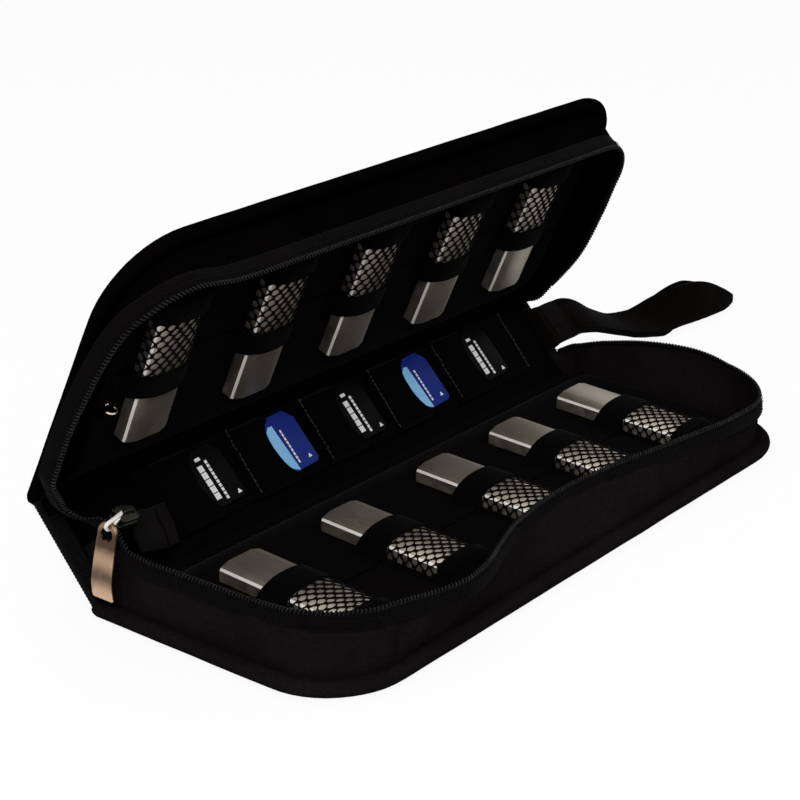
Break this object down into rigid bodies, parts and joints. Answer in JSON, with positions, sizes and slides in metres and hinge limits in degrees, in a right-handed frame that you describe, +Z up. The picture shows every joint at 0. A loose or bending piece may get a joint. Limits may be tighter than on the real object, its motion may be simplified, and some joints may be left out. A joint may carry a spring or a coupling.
{
  "type": "usb drive wallet",
  "caption": "Zipped fabric wallet, half open, with usb sticks held by elastic bands and mesh pockets in both covers and memory cards in spine pockets.",
  "frame": {"origin": "middle of the length on the underside of the lower cover, straight below its hinge axis", "axes": "+X along the hinges to the wrist strap's end, -Y from the hinge to the lower cover's front, +Z up"},
  "size_m": [0.4083, 0.1398, 0.1305],
  "materials": {
    "nylon": "woven black nylon, matt",
    "lining": "smooth black lining, matt",
    "elastic": "black elastic, fine ribs",
    "net": "black diamond net",
    "webbing": "black webbing",
    "zip coil": "dark coil, slight sheen",
    "stick metal": "brushed, satin",
    "bronze": "polished bronze plating",
    "black card": "satin black",
    "blue card": "satin dark blue"
  },
  "bodies": {
    "lower_lid": {"lower_cover": "nylon", "lower_gusset": "nylon", "lower_zip": "zip coil", "lower_lining": "lining", "elastic_band_lower_1": "elastic", "elastic_band_lower_2": "elastic", "elastic_band_lower_3": "elastic", "elastic_band_lower_4": "elastic", "elastic_band_lower_5": "elastic", "mesh_pocket_lower_1": "net", "mesh_pocket_lower_2": "net", "mesh_pocket_lower_3": "net", "mesh_pocket_lower_4": "net", "mesh_pocket_lower_5": "net"},
    "spine": {"spine_cover": "nylon", "near_gusset_end": "nylon", "far_gusset_end": "nylon", "card_strip": "lining", "card_pocket_1": "lining", "card_pocket_2": "lining", "card_pocket_3": "lining", "card_pocket_4": "lining", "card_pocket_5": "lining", "zip_tape_end": "nylon"},
    "upper_lid": {"upper_cover": "nylon", "upper_gusset": "nylon", "upper_zip": "zip coil", "upper_lining": "lining", "ring_tab": "nylon", "elastic_band_upper_1": "elastic", "elastic_band_upper_2": "elastic", "elastic_band_upper_3": "elastic", "elastic_band_upper_4": "elastic", "elastic_band_upper_5": "elastic", "mesh_pocket_upper_1": "net", "mesh_pocket_upper_2": "net", "mesh_pocket_upper_3": "net", "mesh_pocket_upper_4": "net", "mesh_pocket_upper_5": "net"},
    "slider": {"zip_slider": "bronze", "pull_link": "bronze"},
    "pull": {"pull_tab": "bronze"},
    "ring": {"small_ring": "bronze"},
    "strap": {"wrist_strap": "webbing"},
    "stick_lower_1": {"usb_stick_lower_1": "stick metal"},
    "stick_lower_2": {"usb_stick_lower_2": "stick metal"},
    "stick_lower_3": {"usb_stick_lower_3": "stick metal"},
    "stick_lower_4": {"usb_stick_lower_4": "stick metal"},
    "stick_lower_5": {"usb_stick_lower_5": "stick metal"},
    "stick_upper_1": {"usb_stick_upper_1": "stick metal"},
    "stick_upper_2": {"usb_stick_upper_2": "stick metal"},
    "stick_upper_3": {"usb_stick_upper_3": "stick metal"},
    "stick_upper_4": {"usb_stick_upper_4": "stick metal"},
    "stick_upper_5": {"usb_stick_upper_5": "stick metal"},
    "card_1": {"memory_card_1": "black card"},
    "card_2": {"memory_card_2": "blue card"},
    "card_3": {"memory_card_3": "black card"},
    "card_4": {"memory_card_4": "blue card"},
    "card_5": {"memory_card_5": "black card"}
  },
  "joints": [
    {"name": "spine_hinge", "type": "hinge", "parent": "lower_lid", "child": "spine", "pos_m": [0, 0, 0.003], "axis": [-1, 0, 0], "range_deg": [-40, 50]},
    {"name": "lid_hinge", "type": "hinge", "parent": "spine", "child": "upper_lid", "pos_m": [0, 0.02828, 0.03671], "axis": [-1, 0, 0], "range_deg": [-20.8, 69.2]},
    {"name": "slider_slide", "type": "slide", "parent": "spine", "child": "slider", "axis": [-1, 0, 0], "range_m": [0, 0.006]},
    {"name": "pull_swing", "type": "hinge", "parent": "slider", "child": "pull", "pos_m": [-0.13115, -0.00647, 0.03532], "axis": [0, 1, 0], "range_deg": [0, 110]},
    {"name": "strap_swing", "type": "hinge", "parent": "spine", "child": "strap", "pos_m": [0.13385, 0.01909, 0.0275], "axis": [0, -1, 0], "range_deg": [0, 70]},
    {"name": "ring_swing", "type": "hinge", "parent": "upper_lid", "child": "ring", "pos_m": [-0.12808, -0.00813, 0.07419], "axis": [0, -0.4879, 0.8729], "range_deg": [-50, 50]},
    {"name": "stick_lower_1_slide", "type": "slide", "parent": "lower_lid", "child": "stick_lower_1", "axis": [0, 0.9981, 0.0624], "range_m": [0, 0.02]},
    {"name": "stick_lower_2_slide", "type": "slide", "parent": "lower_lid", "child": "stick_lower_2", "axis": [0, 0.9981, 0.0624], "range_m": [0, 0.02]},
    {"name": "stick_lower_3_slide", "type": "slide", "parent": "lower_lid", "child": "stick_lower_3", "axis": [0, 0.9981, 0.0624], "range_m": [0, 0.02]},
    {"name": "stick_lower_4_slide", "type": "slide", "parent": "lower_lid", "child": "stick_lower_4", "axis": [0, 0.9981, 0.0624], "range_m": [0, 0.02]},
    {"name": "stick_lower_5_slide", "type": "slide", "parent": "lower_lid", "child": "stick_lower_5", "axis": [0, 0.9981, 0.0624], "range_m": [0, 0.02]},
    {"name": "stick_upper_1_slide", "type": "slide", "parent": "upper_lid", "child": "stick_upper_1", "axis": [0, 0.4325, -0.9017], "range_m": [0, 0.02]},
    {"name": "stick_upper_2_slide", "type": "slide", "parent": "upper_lid", "child": "stick_upper_2", "axis": [0, 0.4325, -0.9017], "range_m": [0, 0.02]},
    {"name": "stick_upper_3_slide", "type": "slide", "parent": "upper_lid", "child": "stick_upper_3", "axis": [0, 0.4325, -0.9017], "range_m": [0, 0.02]},
    {"name": "stick_upper_4_slide", "type": "slide", "parent": "upper_lid", "child": "stick_upper_4", "axis": [0, 0.4325, -0.9017], "range_m": [0, 0.02]},
    {"name": "stick_upper_5_slide", "type": "slide", "parent": "upper_lid", "child": "stick_upper_5", "axis": [0, 0.4325, -0.9017], "range_m": [0, 0.02]},
    {"name": "card_1_slide", "type": "slide", "parent": "spine", "child": "card_1", "axis": [1, 0, 0], "range_m": [0, 0.0045]},
    {"name": "card_2_slide", "type": "slide", "parent": "spine", "child": "card_2", "axis": [1, 0, 0], "range_m": [0, 0.0045]},
    {"name": "card_3_slide", "type": "slide", "parent": "spine", "child": "card_3", "axis": [1, 0, 0], "range_m": [0, 0.0045]},
    {"name": "card_4_slide", "type": "slide", "parent": "spine", "child": "card_4", "axis": [1, 0, 0], "range_m": [0, 0.0045]},
    {"name": "card_5_slide", "type": "slide", "parent": "spine", "child": "card_5", "axis": [1, 0, 0], "range_m": [0, 0.0045]}
  ]
}
